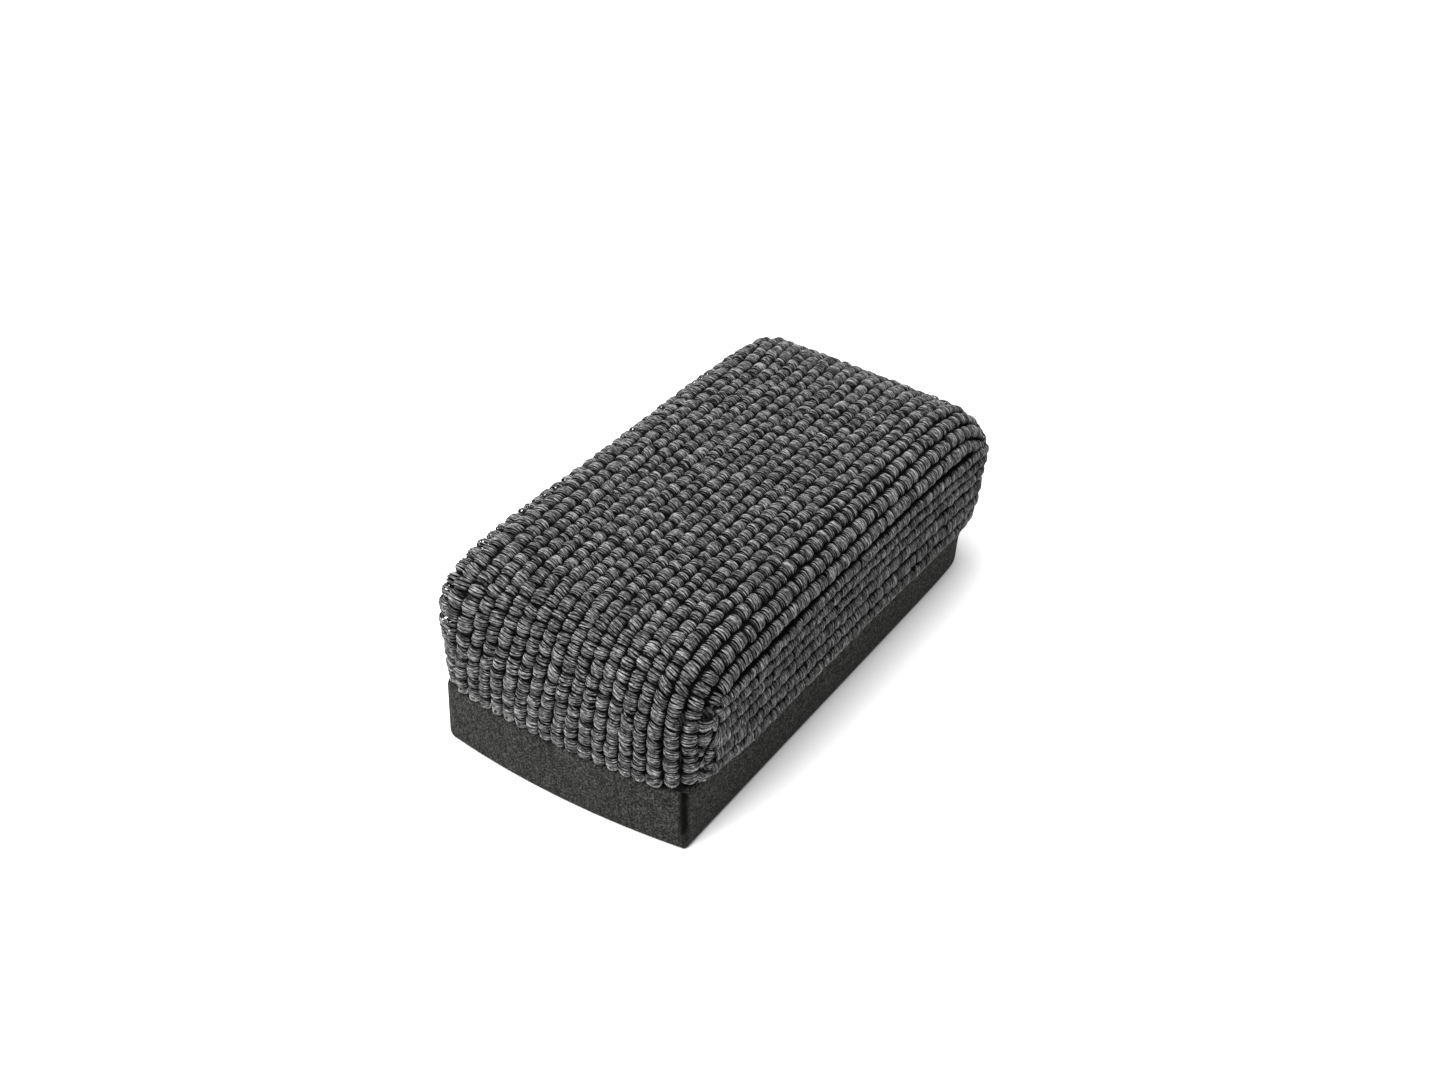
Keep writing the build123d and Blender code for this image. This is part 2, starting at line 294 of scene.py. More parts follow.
def make_mesh(name, vertices, faces, attributes=(), smooth=True):
    """A new object from arrays of vertices in millimetres and quads."""
    mesh = bpy.data.meshes.new(name)
    mesh.vertices.add(len(vertices))
    mesh.vertices.foreach_set("co", (vertices * MM).astype(np.float32).ravel())
    mesh.loops.add(faces.size)
    mesh.loops.foreach_set("vertex_index", faces.astype(np.int32).ravel())
    mesh.polygons.add(len(faces))
    mesh.polygons.foreach_set("loop_start", np.arange(0, faces.size, faces.shape[1], dtype=np.int32))
    mesh.update(calc_edges=True)
    mesh.validate()
    for title, values in attributes:
        kind = "FLOAT_VECTOR" if values.ndim == 2 else "FLOAT"
        layer = mesh.attributes.new(title, kind, "POINT")
        layer.data.foreach_set("vector" if values.ndim == 2 else "value", values.astype(np.float32).ravel())
    mesh.polygons.foreach_set("use_smooth", np.full(len(mesh.polygons), smooth))
    piece = bpy.data.objects.new(name, mesh)
    bpy.context.scene.collection.objects.link(piece)
    return piece


def yarn_piece(name, parts, material, skin=None):
    """One object from several batches of strands, and a skin of flattened knit if there is one."""
    places, fibres, crest_shades, tones, faces = [], [], [], [], []
    offset = 0
    for vertices, fibre, crest_shade, shade in parts:
        count, rings, sides = vertices.shape[:3]
        quads = tube_faces(count, rings, sides).reshape(-1, 4) + offset
        places.append(vertices.reshape(-1, 3))
        fibres.append(fibre.reshape(-1, 3))
        crest_shades.append(crest_shade.ravel())
        tones.append(shade.ravel())
        faces.append(quads)
        offset += count * rings * sides
    if skin:
        outer, inner, fibre, crest_shade = skin
        places += [outer.reshape(-1, 3), inner.reshape(-1, 3)]
        fibres += [fibre.reshape(-1, 3)] * 2
        crest_shades += [crest_shade.ravel()] * 2
        tones.append(np.zeros(2 * crest_shade.size))
        faces.append(shell_faces(*outer.shape[:2]) + offset)
    attributes = (
        ("fibre", np.concatenate(fibres)),
        ("crest_shade", np.concatenate(crest_shades)),
        ("tone", np.concatenate(tones)),
    )
    piece = make_mesh(name, hang(settle(np.concatenate(places))), np.concatenate(faces), attributes)
    piece.data.materials.append(material)
    return piece


def grid_faces(rows, columns):
    """Quads between the points of a grid."""
    corner = np.arange(rows - 1)[:, None] * columns + np.arange(columns - 1)
    return np.stack([corner, corner + 1, corner + columns + 1, corner + columns], -1).reshape(-1, 4)


def rim_of(rows, columns):
    """Indices round the edge of a grid."""
    return np.concatenate(
        [
            np.arange(columns),
            np.arange(1, rows) * columns + columns - 1,
            (rows - 1) * columns + np.arange(columns - 2, -1, -1),
            np.arange(rows - 2, 0, -1) * columns,
        ]
    )


def shell_faces(rows, columns):
    """Faces of a closed shell between two equal grids, the outer one first."""
    count = rows * columns
    faces = grid_faces(rows, columns)
    rim = rim_of(rows, columns)
    after = np.roll(rim, -1)
    edge = np.stack([rim, rim + count, after + count, after], -1)
    return np.concatenate([faces, faces[:, ::-1] + count, edge])


def beads(length, openness):
    """Places of strands along a rib, two by two in beads: position, -1 to 1 within its bead, and the bead."""
    places, within, beads_of = [], [], []
    s = rng.uniform(0, 1)
    bead = 0
    while s < length:
        loose = openness(s)
        pairs = rng.choice([2, 3, 4, 5], p=[0.10, 0.42, 0.34, 0.14])
        for i in range(pairs):
            offset = 0.25 + rng.uniform(0.27, 0.32)
            places += [s + 0.25, s + offset]
            s += offset + rng.uniform(0.22, 0.30)
        within += list(np.linspace(-1, 1, 2 * pairs))
        beads_of += [bead] * (2 * pairs)
        s += loose * rng.uniform(0.12, 0.55)
        bead += 1
    return np.array(places), np.array(within), np.array(beads_of)


def rib(
    line,
    openness,
    half_width=1.52,
    height=1.6,
    slant=0.1,
    tone=0.0,
    mess=0.0,
    pressed=None,
    reach=REACH,
    yarn=0.2,
):
    """Strands over a whole line, in beads. Mess adds disorder; pressed gives where the rib is flat."""
    s, within, bead = beads(line.length, openness)
    keep = s < line.length - 0.2
    s, within, bead = s[keep], within[keep], bead[keep]
    beads_here = bead.max() + 1
    loose = np.array([openness(at) for at in s])
    flat = np.zeros(len(s)) if pressed is None else pressed(s)
    size = rng.normal(1.0, 0.045 + 0.12 * mess, beads_here)[bead]
    pair = np.arange(len(s)) // 2
    edge = np.abs(within) ** 3
    tall = height * size * (1 - (0.06 + 0.32 * loose) * edge) * (1 - 0.25 * flat)
    tall *= rng.normal(1, 0.03, len(s)) + rng.normal(0, 0.05, len(s)) * flat
    broad = half_width * size * (1 - (0.03 + 0.20 * loose) * edge) * (1 + 0.2 * flat)
    broad *= rng.normal(1, 0.03, len(s))
    lean = slant + rng.normal(0, 0.12 + 0.5 * mess, beads_here)[bead] + rng.normal(0, 0.06, len(s))
    shift = rng.normal(0, 0.15 + 0.5 * mess, beads_here)[bead] * loose + wander(s)
    thick = rng.normal(yarn, 0.012, len(s))
    colour = tone + rng.normal(0, 0.15, beads_here)[bead] + rng.normal(0, 0.6, len(s))[pair]
    # Painted shade: besides the random tone, the end strands of loose beads are made darker, by a lower tone
    # here and a lower depth below
    colour += rng.normal(0, 0.7, len(s)) - 2.0 * loose * edge
    depth = 1 - 0.5 * loose * edge
    return strands(line, s, broad, tall, thick, lean, colour, shift, depth, reach)


def wander(s):
    """A slow sideways drift of a rib, so that no groove runs quite straight."""
    drift = np.zeros(len(s))
    for wave in (9.0, 17.0, 37.0):
        depth, length, phase = rng.normal(0, 0.07), wave * rng.uniform(0.8, 1.2), rng.uniform(0, 2 * pi)
        drift += depth * np.sin(2 * pi * s / length + phase)
    return drift


# Materials
def nodes_of(name):
    """A new material with its node tree and shader."""
    material = bpy.data.materials.new(name)
    material.use_nodes = True
    tree = material.node_tree
    return material, tree, tree.nodes["Principled BSDF"]


def noise(tree, vector, scale, detail=2.0, roughness=0.55):
    """Noise texture at the places that a socket gives."""
    node = tree.nodes.new("ShaderNodeTexNoise")
    node.inputs["Scale"].default_value = scale
    node.inputs["Detail"].default_value = detail
    node.inputs["Roughness"].default_value = roughness
    tree.links.new(vector, node.inputs["Vector"])
    return node.outputs["Fac"]


def mapped(tree, vector, scale):
    """A vector socket scaled along its three axes."""
    node = tree.nodes.new("ShaderNodeMapping")
    node.inputs["Scale"].default_value = scale
    tree.links.new(vector, node.inputs["Vector"])
    return node.outputs["Vector"]


def attribute(tree, name, output="Fac"):
    """A value stored on the mesh."""
    node = tree.nodes.new("ShaderNodeAttribute")
    node.attribute_name = name
    return node.outputs[output]


def ramp(tree, value, stops):
    """Colours picked by a value, from stops of place and colour."""
    node = tree.nodes.new("ShaderNodeValToRGB")
    elements = node.color_ramp.elements
    while len(elements) < len(stops):
        elements.new(0.5)
    for element, (at, colour) in zip(elements, stops):
        element.position = at
        element.color = (*colour, 1)
    tree.links.new(value, node.inputs["Fac"])
    return node.outputs["Color"]


def arithmetic(tree, operation, a, b):
    """A sum or product of two sockets or numbers."""
    node = tree.nodes.new("ShaderNodeMath")
    node.operation = operation
    for socket, value in zip(node.inputs, (a, b)):
        if isinstance(value, (int, float)):
            socket.default_value = value
        else:
            tree.links.new(value, socket)
    return node.outputs["Value"]


def weighted(tree, first, second):
    """The sum of two sockets, each with its weight."""
    a, b = (arithmetic(tree, "MULTIPLY", socket, weight) for socket, weight in (first, second))
    return arithmetic(tree, "ADD", a, b)


def blend(tree, kind, factor, a, b):
    """Two colours blended."""
    node = tree.nodes.new("ShaderNodeMix")
    node.data_type = "RGBA"
    node.blend_type = kind
    for name, value in (("Factor", factor), ("A", a), ("B", b)):
        socket = node.inputs[name]
        if isinstance(value, (int, float)):
            socket.default_value = value
        elif isinstance(value, tuple):
            socket.default_value = (*value, 1)
        else:
            tree.links.new(value, socket)
    return node.outputs["Result"]


def bump(tree, shader, height, strength, distance):
    """Fine relief on a shader."""
    node = tree.nodes.new("ShaderNodeBump")
    node.inputs["Strength"].default_value = strength
    node.inputs["Distance"].default_value = distance
    tree.links.new(height, node.inputs["Height"])
    tree.links.new(node.outputs["Normal"], shader.inputs["Normal"])


def yarn_material(name, dark, middle, light):
    """Melange yarn: streaks along the fibre, and painted shade that turns it black between the strands."""
    material, tree, shader = nodes_of(name)
    fibre = attribute(tree, "fibre", "Vector")
    streaks = noise(tree, mapped(tree, fibre, (4.5, 0.8, 1)), 1.0, 3.0, 0.6)
    mottle = noise(tree, mapped(tree, fibre, (1.2, 1.6, 1)), 1.0, 2.0)
    mixed = weighted(tree, (streaks, 0.75), (mottle, 0.25))
    # The tone attribute holds random differences from strand to strand, and also the painted shade of the
    # side rows and of loose bead ends
    toned = arithmetic(tree, "ADD", mixed, arithmetic(tree, "MULTIPLY", attribute(tree, "tone"), 0.03))
    colour = ramp(tree, toned, [(0.36, dark), (0.50, middle), (0.64, light)])
    # Painted shade: the colour is multiplied towards black where the mesh's shade value along each strand is
    # low, in the grooves and between beads
    stops = [(0.0, (0.006, 0.006, 0.006)), (0.28, (0.1, 0.1, 0.1)), (0.60, (1, 1, 1))]
    groove_shade = ramp(tree, attribute(tree, "crest_shade"), stops)
    colour = blend(tree, "MULTIPLY", 1.0, colour, groove_shade)
    tree.links.new(colour, shader.inputs["Base Color"])
    shader.inputs["Roughness"].default_value = 0.92
    shader.inputs["Sheen Weight"].default_value = 0.02
    shader.inputs["Specular IOR Level"].default_value = 0.06
    bump(tree, shader, streaks, 0.9, 0.00022)
    return material


def felt_material(name, dark, middle, light):
    """Felt with a fine nap, darker where the shade attribute is low."""
    material, tree, shader = nodes_of(name)
    place = tree.nodes.new("ShaderNodeTexCoord").outputs["Object"]
    fine = noise(tree, place, 2300, 2.0, 0.7)
    coarse = noise(tree, place, 700, 2.0)
    mixed = weighted(tree, (fine, 0.8), (coarse, 0.2))
    colour = ramp(tree, mixed, [(0.37, dark), (0.5, middle), (0.63, light)])
    shade = ramp(tree, attribute(tree, "shade"), [(0.0, (0.02, 0.02, 0.02)), (1.0, (1, 1, 1))])
    tree.links.new(blend(tree, "MULTIPLY", 1.0, colour, shade), shader.inputs["Base Color"])
    shader.inputs["Roughness"].default_value = 0.96
    shader.inputs["Sheen Weight"].default_value = 0.02
    shader.inputs["Specular IOR Level"].default_value = 0.05
    bump(tree, shader, mixed, 0.9, 0.0003)
    return material


def plain_material(name, dark, light, roughness, scale, metallic=0.0):
    """A matte or metal surface with a little grain."""
    material, tree, shader = nodes_of(name)
    place = tree.nodes.new("ShaderNodeTexCoord").outputs["Object"]
    grain = noise(tree, place, scale, 3.0)
    tree.links.new(ramp(tree, grain, [(0.35, dark), (0.65, light)]), shader.inputs["Base Color"])
    shader.inputs["Roughness"].default_value = roughness
    shader.inputs["Metallic"].default_value = metallic
    bump(tree, shader, grain, 0.3, 0.0001)
    return material


YARN = yarn_material(
    "yarn_grey", dark=(0.009, 0.0093, 0.0093), middle=(0.086, 0.087, 0.086), light=(0.30, 0.302, 0.298)
)
# The ground cloth's own black, made darker still as painted shade for the grooves between the ribs
GROUND = yarn_material(
    "ground_black_and_groove_shade", dark=(0.002, 0.002, 0.002), middle=(0.004, 0.004, 0.004), light=(0.008, 0.008, 0.008)
)
FELT_GREY = felt_material(
    "felt_charcoal",
    dark=(0.004, 0.0042, 0.0038),
    middle=(0.0182, 0.0187, 0.0172),
    light=(0.058, 0.059, 0.055),
)


# Cords over the top and down both ends
def over_line(distance):
    """The line under a rib that runs over the top, at a distance round the cover's cross-section."""
    across, drop, tilt = section_place(distance)
    half = end_profile(drop, abs(across) - 1.5, FOOT_Z + 1.3 * (across / 29) ** 6)
    half = np.stack([half[:, 0], np.full(len(half), across), half[:, 1]], -1)
    whole = np.concatenate([half[::-1][:-1] * (-1, 1, 1), leaned(half)])
    along = np.gradient(whole, axis=0)
    sideways = np.array((0.0, 1.0, 0.0))
    outward = np.cross(along, sideways)
    outward /= np.linalg.norm(outward, axis=1, keepdims=True)
    return Line3(whole, outward * cos(tilt) + sideways * sin(tilt))


def foot_loops(line, end):
    """The rounded loops in which a rib ends at the lower edge."""
    at = -1 if end else 0
    point, out, wide = line.points[at], line.out[at], line.wide[at]
    down = line.along[at] * (1 if end else -1)
    sizes = np.array([1.35, 1.05, 0.75, 0.45])
    centre = point + out * np.array([[0.45], [0.7], [0.95], [1.15]]) - down
    across = wide * (sizes * rng.normal(1, 0.05, 4))[:, None]
    below = down * (sizes * rng.normal(0.92, 0.06, 4))[:, None]
    return loops(centre, np.tile(out, (4, 1)), (across, below), np.full(4, 0.26), tone=1.5)


pieces = []
for number in range(CORDS_OVER):
    distance = (number - (CORDS_OVER - 1) / 2) * CORD_PITCH
    line = over_line(distance)
    edge = line.length / 2

    def openness(s, middle=edge):
        return 0.85 if abs(s - middle) < 48 else 0.6

    parts = [rib(line, openness)] + [foot_loops(line, end) for end in (0, 1)]
    piece = yarn_piece(f"cord_over_{number + 1:02d}_yarn", parts, YARN)
    pieces.append((piece, [f"cord_over_{number + 1:02d}"]))

# The upright cloth of a long side, which runs on round the corners
CORNER_X = CLOTH_HALF_LENGTH - END_BOW / 2 + bow(28) - EDGE_RADIUS


def wall(side, end, u, z):
    """Point and outward normal, u along the side from the middle and on round the corner."""
    turn = np.clip((u - CORNER_X) / EDGE_RADIUS, 0, None)
    lean = np.clip(WALL_LEAN_Z - z, 0, None)
    x = np.minimum(u, CORNER_X) + (EDGE_RADIUS - lean * tan(END_LEAN)) * np.sin(turn)
    y = FLAT_HALF_WIDTH + EDGE_RADIUS * np.cos(turn) - lean * tan(SIDE_LEAN) * np.cos(turn)
    point = np.stack([end * x, side * y, z + 0 * u], -1)
    return point, np.stack([end * np.sin(turn), side * np.cos(turn), 0 * u], -1)


def pressed_at(u, z):
    """How far the knit is flattened where the cloth is gathered: more to the corners and lower down."""
    return ease((u - GATHER_FROM + (GATHER_Z - z) * GATHER_SLANT) / 5)


# Cords along the long sides
def upper_row(side, distance):
    """The first row of a side, on the shoulder."""
    line = over_line(side * distance)
    start, stop = UPPER_ROW_SPAN
    keep = (line.points[:, 0] > start) & (line.points[:, 0] < stop)
    line = Line3(line.points[keep], line.out[keep])
    # Painted shade: the rows of the long sides are given a darker tone than the top
    return rib(line, lambda s: SIDE_OPENNESS, 1.4, 1.45, slant=-0.1 * side, tone=-0.4)


def side_row(side, number, drop):
    """A lower row, which runs on round the far corner; the top ones stop sooner there."""
    past_corner = min(7.6, 2.3 + 1.7 * number)
    u = np.arange(-CORNER_X - 1.5, CORNER_X + past_corner, 0.5)
    droop = (ROW_DROOP - number * DROOP_STEP) * (np.minimum(u, ROW_HALF_LENGTH) / ROW_HALF_LENGTH) ** 2
    z = CLOTH_TOP - drop - droop
    z = z + 0.5 * max(0, 3 - number) / 2 - 0.4 / number * np.clip(u - CORNER_X, 0, None)
    point, out = wall(side, np.sign(u + 0.01), np.abs(u), z)
    low = z.mean()
    return rib(
        Line3(point + 0.6 * out, out),
        lambda s: SIDE_OPENNESS,
        half_width=1.22,
        height=1.0,
        slant=-0.05 * side,
        # Painted shade: a darker tone for the rows of the long sides
        tone=-0.8,
        pressed=lambda s: pressed_at(CORNER_X + 1.5 - s, low),
        reach=radians(125),
        yarn=0.24,
    )


def edge_row(side):
    """The thin bound edge under the lowest row."""
    u = np.arange(-CORNER_X - 5, CORNER_X + 5.1, 0.5)
    line = Line3(*wall(side, np.sign(u + 0.01), np.abs(u), 15.0 + 0.15 * np.sin(u / 7)))
    return rib(line, lambda s: 0.1, 0.75, 1.15, slant=0.35, tone=1.5)


for side, side_name in ((-1, "front"), (1, "back")):
    for number in range(ROWS_PER_SIDE):
        distance = (CORDS_OVER + 1) / 2 * CORD_PITCH + number * ROW_PITCH
        if number == 0:
            batches = [upper_row(side, distance)]
        else:
            batches = [side_row(side, number, section_place(distance)[1])]
        if number == ROWS_PER_SIDE - 1:
            batches.append(edge_row(side))
        name = f"{side_name}_row_{number + 1}"
        pieces.append((yarn_piece(f"{name}_yarn", batches, YARN), [name]))


# Gathered cloth at the corners
def gathered(side, end):
    """Flattened knit between the side rows and the corner, as a closed skin with the marks of its strands in
    low relief and in painted shade.
    """
    share, z = np.meshgrid(np.linspace(0, 1, 170), np.arange(14.3, 32.6, 0.35))
    start = GATHER_FROM - 0.4 - (GATHER_Z - z) * GATHER_SLANT
    u = start + (CORNER_X + 10 - start) * share
    point, out = wall(side, end, u, z)
    phases = rng.uniform(0, 2 * pi, 5)
    wobble = 0.35 * np.sin(z * 1.1 + phases[0]) + 0.3 * np.sin(z * 0.5 + u * 0.7 + phases[1])
    strand = np.abs(np.sin(pi * (u + wobble) / 0.82))
    folds = 0.14 * np.sin(u * 1.3 + wobble + phases[2]) + 0.1 * np.sin(u * 0.6 - z * 0.9 + phases[3])
    under = ease((u - CORNER_X - 1.5) / 2)
    lift = (0.38 + folds + 0.16 * strand) * pressed_at(u, z) * ease((32.6 - z) / 2) * (1 - 0.55 * under)
    place = point + out * (lift - 0.12)[..., None]
    fibre = np.stack([u, z, 0 * u], -1)
    # Painted shade on the flat skin: darker between the marks of the strands, and darker where the knit turns
    # under at the corner
    crest_shade = (0.28 + 0.36 * strand) * (1 - 0.45 * under)
    return place, point - out * 0.5, fibre, crest_shade


def tuck(side, end):
    """The lumps of knit at a corner, and at the near end the flattened knit beside them."""
    z = np.arange(32.0, 15.4, -0.4)
    if end > 0:
        line = Line3(*wall(side, end, CORNER_X + 8.8 + 0 * z, z))
        return [rib(line, lambda s: 0.5, 1.2, 1.2, mess=0.2)], None
    inner_line = Line3(*wall(side, end, CORNER_X + 3.9 + 0.35 * np.sin(z * 0.9), z))
    outer_line = Line3(*wall(side, end, CORNER_X + 1.0 + 0.5 * np.sin(z * 0.8 + side), z))
    batches = [
        rib(inner_line, lambda s: 1.3, 1.4, 1.6, slant=0.25, tone=0.4, mess=0.6, yarn=0.25),
        rib(outer_line, lambda s: 1.2, 1.2, 1.1, slant=0.3, tone=0.4, mess=0.6, yarn=0.25),
    ]
    skin = gathered(side, end)
    return batches, [part[:, ::-1] for part in skin] if side > 0 else skin


for side, side_name in ((-1, "front"), (1, "back")):
    for end, end_name in ((-1, "left"), (1, "right")):
        name = f"corner_tuck_{side_name}_{end_name}"
        batches, skin = tuck(side, end)
        pieces.append((yarn_piece(f"{name}_yarn", batches, YARN, skin), [name]))

for piece, nodes in pieces:
    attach(piece, "root")
    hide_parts(*nodes)
    "tuck_yarn" if "tuck" in piece.name else "cord_yarn"


# Ground cloth and pad
def cover_grid(skin, foot):
    """Grid over the cover from one long side's foot to the other's, skin below its surface."""
    tilts = np.linspace(0, pi / 2, 10)
    radius = EDGE_RADIUS - skin
    half = [(across, skin) for across in np.linspace(0, FLAT_HALF_WIDTH, 14)[:-1]]
    half += [(FLAT_HALF_WIDTH + radius * sin(t), skin + radius * (1 - cos(t))) for t in tilts]
    rows = []
    for across, drop in [(-a, d) for a, d in half[::-1][:-1]] + half:
        profile = end_profile(drop, across, foot, 0.5)
        at = np.concatenate([[0], np.cumsum(np.linalg.norm(np.diff(profile, axis=0), axis=1))])
        picks = np.linspace(0, at[-1], 90)
        x, z = (np.interp(picks, at, profile[:, i]) for i in (0, 1))
        x, z = np.concatenate([-x[::-1][:-1], x]), np.concatenate([z[::-1][:-1], z])
        rows.append(np.stack([x, np.full(len(x), across), z], -1))
    grid = np.array(rows)
    walls = []
    for edge in (grid[0], grid[-1]):
        steps = []
        for share in np.linspace(0, 1, 12)[1:]:
            steps.append(np.stack([edge[:, 0], edge[:, 1], edge[:, 2] + (foot - edge[:, 2]) * share], -1))
        walls.append(np.array(steps))
    return leaned(np.concatenate([walls[0][::-1], grid, walls[1]]), radius)


def ring_faces(rings, points):
    """Faces round a closed band whose section is a closed loop too."""
    index = np.arange(rings * points).reshape(rings, points)
    index = np.concatenate([index, index[:1]])
    index = np.concatenate([index, index[:, :1]], 1)
    return np.stack([index[:-1, :-1], index[:-1, 1:], index[1:, 1:], index[1:, :-1]], -1).reshape(-1, 4)


def plain_attributes(vertices):
    """What the yarn material reads, on a piece without strands."""
    return (("fibre", vertices), ("crest_shade", np.ones(len(vertices))), ("tone", np.zeros(len(vertices))))


outer, inner = cover_grid(0.0, CLOTH_FOOT), cover_grid(CLOTH, CLOTH_FOOT)
rim = outer.reshape(-1, 3)[rim_of(*outer.shape[:2])]
inward = rim * (1 - HEM_WIDTH / CLOTH_HALF_LENGTH, 1 - HEM_WIDTH / CLOTH_HALF_WIDTH, 1)
hem = np.concatenate([rim, inward, inward + (0, 0, CLOTH), rim * (0.99, 0.98, 1) + (0, 0, CLOTH)])
vertices = settle(np.concatenate([outer.reshape(-1, 3), inner.reshape(-1, 3), hem]))
faces = np.concatenate([shell_faces(*outer.shape[:2]), ring_faces(4, len(rim)) + 2 * outer.size // 3])
cloth = make_mesh("cover_cloth_fabric", vertices, faces, plain_attributes(vertices))
cloth.data.materials.append(GROUND)
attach(cloth, "root")
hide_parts("cover_cloth")

top = cover_grid(PAD_SKIN, PAD_Z)
underside = top.reshape(-1, 3) * (0.995, 0.99, 0) + (0, 0, PAD_Z)
vertices = settle(np.concatenate([top.reshape(-1, 3), underside]))
pad = make_mesh("foam_pad_block", vertices, shell_faces(*top.shape[:2]), plain_attributes(vertices))
pad.data.materials.append(plain_material("pad_foam", (0.42, 0.40, 0.34), (0.55, 0.53, 0.46), 0.9, 1500))
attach(pad, "root")
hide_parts("foam_pad")


# Felt of the grip
def base_outline(inset, step=0.7):
    """Points round the grip's plan from the seam corner, along the front and back to the seam."""
    half_length = BASE_LENGTH / 2 - inset
    half_width = BASE_WIDTH / 2 - inset
    corner_x = half_length - END_BOW
    far, near = FAR_CORNER_RADIUS - inset, CORNER_RADIUS - inset

    def end_x(y):
        return corner_x + END_BOW * (1 - (y / half_width) ** 2)

    def arc(x, y, radius, start):
        return [
            (x + radius * cos(t), y + radius * sin(t)) for t in np.linspace(start, start + pi / 2, 14)[1:-1]
        ]

    far_x, near_x = end_x(half_width - far) - far, end_x(half_width - near) - near
    points = [(x, -half_width) for x in np.arange(-corner_x, far_x, step)]
    points += arc(far_x, -half_width + far, far, -pi / 2)
    points += [(end_x(y), y) for y in np.arange(-half_width + far, half_width - far, step)]
    points += arc(far_x, half_width - far, far, 0)
    points += [(x, half_width) for x in np.arange(far_x, -near_x, -step)]
    points += arc(-near_x, half_width - near, near, pi / 2)
    points += [(-end_x(y), y) for y in np.arange(half_width - near, -half_width, -step)]
    points.append((-corner_x, -half_width))
    return np.array(points) + (BASE_SHIFT, 0)


def shaped(points):
    """The grip as it sits: its near end and long sides spread a little at the floor."""
    moved = points.copy()
    low = 1 - points[..., 2] / BASE_HEIGHT
    moved[..., 0] -= 0.5 * low * np.clip(-points[..., 0] / 60, 0, 1) ** 2
    moved[..., 1] += 0.35 * low * np.sign(points[..., 1])
    corner = low * np.clip(points[..., 0] / 58, 0, 1) ** 8 * np.clip(np.abs(points[..., 1]) / 28, 0, 1) ** 4
    moved[..., 0] -= 2.4 * corner
    moved[..., 1] -= 1.4 * corner * np.sign(points[..., 1])
    return moved


def band():
    """The felt strip round the grip, whose two ends meet at the near corner of the front, with painted shade
    in the seam between them.
    """
    path = base_outline(0)
    at = np.concatenate([[0], np.cumsum(np.linalg.norm(np.diff(path, axis=0), axis=1))])
    lead = np.array([0.35, 0.42, 0.7, 1.1, 1.6])
    s = np.concatenate([lead, np.arange(2.3, at[-1] - 2.2, 0.7), at[-1] - lead[::-1]])
    centre = np.stack([np.interp(s, at, path[:, 0]), np.interp(s, at, path[:, 1])], -1)
    along = np.gradient(centre, axis=0)
    along /= np.linalg.norm(along, axis=1, keepdims=True)
    outward = np.stack([along[:, 1], -along[:, 0]], -1)
    # Painted shade in the gap of the seam where the band's two ends meet, set by light here and fading out
    # towards the floor
    ends, light = np.ones(len(s)), np.ones(len(s))
    ends[:5] = (0.1, 0.5, 0.80, 0.93, 0.99)
    light[:5] = (0.0, 0.0, 0.04, 0.35, 0.85)
    ends[-5:], light[-5:] = ends[4::-1], light[4::-1]
    section = [(-FELT, 0.3), (-FELT + 0.3, 0.0), (-0.9, 0.0), (-0.35, 0.25), (-0.08, 0.7), (0.0, 1.4)]
    section += [(0.0, z) for z in np.arange(2.2, 12.9, 0.8)]
    section += [(-0.02, 13.2), (-0.15, 13.7), (-0.45, 14.0), (-0.9, 14.1), (-FELT + 0.2, 14.0), (-FELT, 13.7)]
    grid, shade = [], []
    for depth, z in section:
        place = centre + outward * (-FELT / 2 + (depth + FELT / 2) * ends)[:, None]
        grid.append(np.concatenate([place, np.full((len(s), 1), z)], 1))
        shade.append(1 - (1 - light) * ease((z + 1) / 7))
    grid, shade = np.array(grid).transpose(1, 0, 2), np.array(shade).T
    rows, columns = grid.shape[:2]
    index = np.arange(rows * columns).reshape(rows, columns)
    index = np.concatenate([index, index[:, :1]], 1)
    faces = np.stack([index[:-1, :-1], index[1:, :-1], index[1:, 1:], index[:-1, 1:]], -1).reshape(-1, 4)
    piece = make_mesh("felt_band_cloth", shaped(grid.reshape(-1, 3)), faces, (("shade", shade.ravel()),))
    caps = [list(range(columns)), list(range((rows - 1) * columns, rows * columns))[::-1]]
    close(piece, caps)
    piece.data.materials.append(FELT_GREY)
    return piece


def close(piece, caps):
    """Adds flat faces over the open ends of a mesh."""
    shape = bmesh.new()
    shape.from_mesh(piece.data)
    shape.verts.ensure_lookup_table()
    for cap in caps:
        shape.faces.new([shape.verts[i] for i in cap])
    shape.to_mesh(piece.data)
    shape.free()


felt = band()
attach(felt, "root")
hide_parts("felt_band")


def stacked(name, plan, levels, material, attributes=()):
    """A closed block from one plan drawn at several levels, each with its scale and height."""
    count = len(plan)
    rings = [np.column_stack([plan * scale, np.full(count, z)]) for scale, z in levels]
    ring = np.arange(count)
    after = np.roll(ring, -1)
    sides = np.stack([ring, after, after + count, ring + count], -1)
    faces = np.concatenate([sides + k * count for k in range(len(levels) - 1)])
    piece = make_mesh(name, shaped(np.concatenate(rings)), faces, attributes, smooth=False)
    close(piece, [list(ring[::-1]), list(ring + (len(levels) - 1) * count)])
    piece.data.materials.append(material)
    return piece


plan = base_outline(FELT + 0.1)[:-1]
levels = ((0.97, 0.0), (1.0, 0.25), (1.0, FELT))
unshaded = (("shade", np.ones(len(levels) * len(plan))),)
sole = stacked("base_felt_sheet", plan, levels, FELT_GREY, unshaded)
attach(sole, "root")
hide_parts("base_felt")

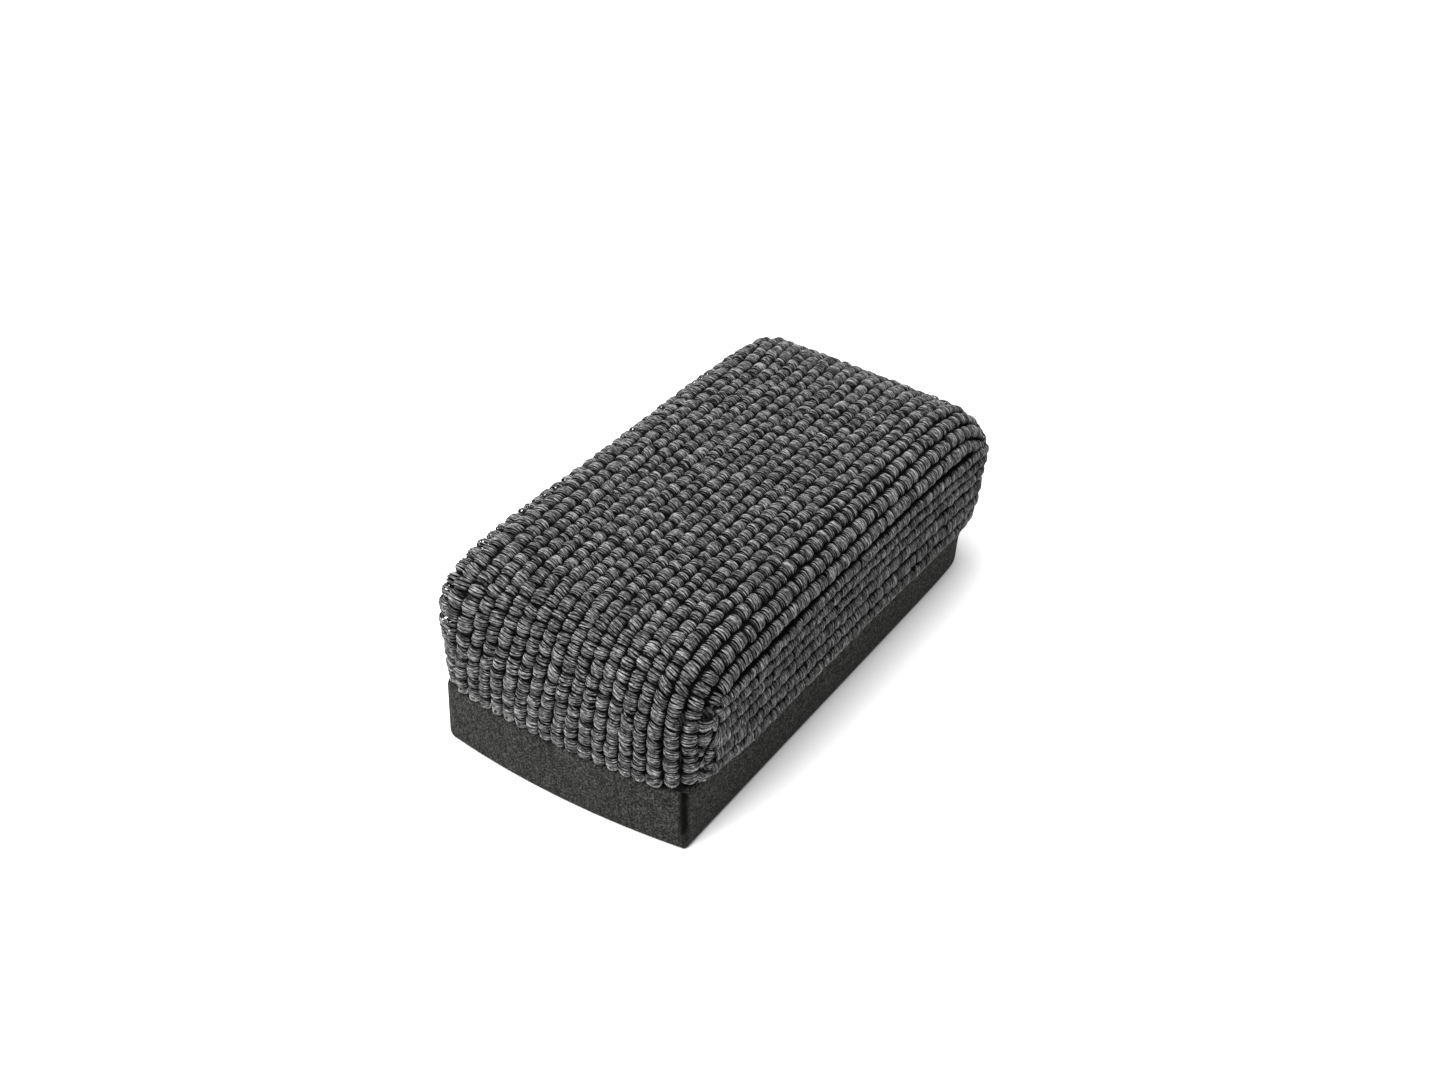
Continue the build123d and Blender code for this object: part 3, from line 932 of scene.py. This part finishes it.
plan = base_outline(FELT + 0.05)[:-1]
hem_space = HEM_WIDTH + 1 - FELT
narrow = 1 - hem_space / np.array((BASE_LENGTH / 2 - FELT, BASE_WIDTH / 2 - FELT))
levels = ((1.0, FELT + 0.02), (1.0, CORE_RIM_Z), (narrow, CORE_RIM_Z), (narrow, CLOTH_FOOT + 0.8))
core_grey = plain_material("core_foam_grey", (0.05, 0.05, 0.05), (0.08, 0.08, 0.08), 0.8, 900)
core = stacked("grip_core_block", plan, levels, core_grey)
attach(core, "root")
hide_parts("grip_core")

for node, material in (
    ("carrier_board", plain_material("board_grey", (0.2, 0.17, 0.12), (0.28, 0.24, 0.18), 0.7, 500)),
    ("hem_staples", plain_material("staple_steel", (0.4, 0.4, 0.4), (0.6, 0.6, 0.6), 0.3, 700, 1.0)),
):
    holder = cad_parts[node]
    holder.data.materials.clear()
    holder.data.materials.append(material)

# Floor, light and camera
bpy.ops.mesh.primitive_plane_add(size=8, location=(0, 0, 0))
floor = bpy.context.object
floor.name = "floor"
material, tree, shader = nodes_of("floor_white")
shader.inputs["Base Color"].default_value = (0.9, 0.9, 0.9, 1)
shader.inputs["Roughness"].default_value = 0.9
floor.data.materials.append(material)

world = bpy.data.worlds.new("studio")
bpy.context.scene.world = world
world.use_nodes = True
world.node_tree.nodes["Background"].inputs["Color"].default_value = (1, 1, 1, 1)
world.node_tree.nodes["Background"].inputs["Strength"].default_value = 0.55


def softbox(name, location, size, energy):
    """A rectangular area light that faces the eraser."""
    data = bpy.data.lights.new(name, "AREA")
    data.shape = "RECTANGLE"
    data.size, data.size_y = size
    data.energy = energy
    light = bpy.data.objects.new(name, data)
    light.location = location
    light.rotation_mode = "QUATERNION"
    light.rotation_quaternion = (Vector((0, 0, 0.02)) - Vector(location)).to_track_quat("-Z", "Y")
    bpy.context.scene.collection.objects.link(light)


softbox("key", (-0.75, 0.35, 1.0), (0.9, 0.9), 25)
softbox("top", (0.3, 0.1, 1.3), (1.2, 1.2), 21)

AZIMUTH, ELEVATION, DISTANCE = radians(-56.12), radians(36.04), 396.85
TARGET = Vector((4.41, 5.21, 20)) * MM
back = Vector((sin(AZIMUTH) * cos(ELEVATION), -cos(AZIMUTH) * cos(ELEVATION), sin(ELEVATION)))
lens = bpy.data.cameras.new("camera")
lens.sensor_width = 36
lens.lens = 43.76
lens.clip_start = 0.01
lens.clip_end = 30
camera = bpy.data.objects.new("camera", lens)
camera.location = TARGET + back * DISTANCE * MM
camera.rotation_mode = "QUATERNION"
camera.rotation_quaternion = (-back).to_track_quat("-Z", "Y")
bpy.context.scene.collection.objects.link(camera)
bpy.context.scene.camera = camera
bpy.context.scene.view_settings.view_transform = "Standard"
